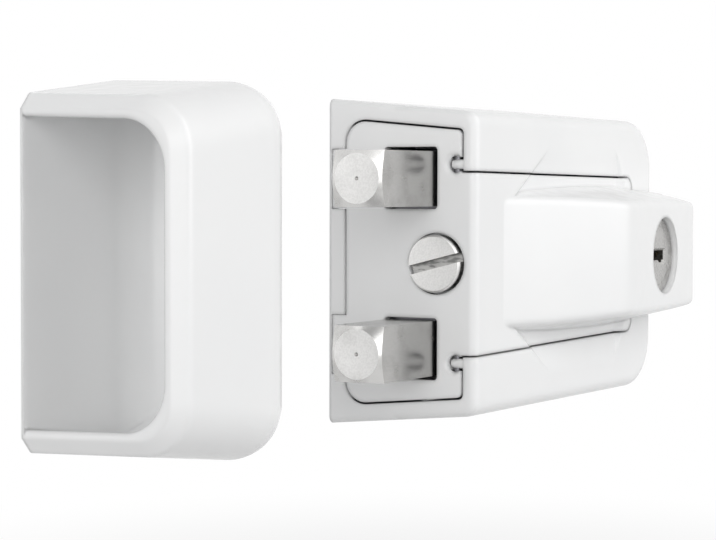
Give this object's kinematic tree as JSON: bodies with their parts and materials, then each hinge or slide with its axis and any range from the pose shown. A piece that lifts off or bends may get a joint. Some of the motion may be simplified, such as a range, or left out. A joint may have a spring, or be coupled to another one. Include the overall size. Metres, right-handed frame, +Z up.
{
  "type": "window lock",
  "caption": "Surface window lock: a white cast case with a keyed swing lever that throws square bolts, and a box strike that receives them.",
  "frame": {"origin": "centre of the case's back, on the sash surface", "axes": "+X along the lever away from the bolts, +Y into the sash, +Z up"},
  "size_m": [0.2164, 0.0492, 0.0734],
  "materials": {
    "white_enamel": "glossy white enamel",
    "plated_steel": "bright plated",
    "zinc_steel": "zinc plated",
    "spring_steel": "blackened",
    "cylinder_metal": "nickel plated",
    "pin_brass": "turned"
  },
  "bodies": {
    "case": {"housing": "white_enamel", "base_plate": "zinc_steel", "cover_screws": "zinc_steel", "keeper": "zinc_steel", "keeper_rivets": "zinc_steel", "upper_hinge_pin": "spring_steel", "lower_hinge_pin": "spring_steel", "strike_box": "white_enamel"},
    "lever": {"swing_lever": "white_enamel", "bolt_carrier": "spring_steel", "upper_bolt": "plated_steel", "lower_bolt": "plated_steel", "carrier_screw": "plated_steel", "cylinder_body": "cylinder_metal", "cylinder_clip": "spring_steel", "pin_cover": "pin_brass", "driver_pins": "pin_brass", "pin_springs": "spring_steel"},
    "plug": {"cylinder_plug": "cylinder_metal", "key_pins": "pin_brass", "plug_clip": "spring_steel", "lock_cam": "zinc_steel", "cam_screw": "zinc_steel"}
  },
  "joints": [
    {"name": "lever_swing", "type": "hinge", "parent": "case", "child": "lever", "pos_m": [-0.049, -0.0314, 0], "axis": [0, 0, -1], "range_deg": [0, 90]},
    {"name": "key_turn", "type": "hinge", "parent": "lever", "child": "plug", "pos_m": [0.0308, -0.035, 0], "axis": [0, 1, 0], "range_deg": [0, 90]}
  ]
}
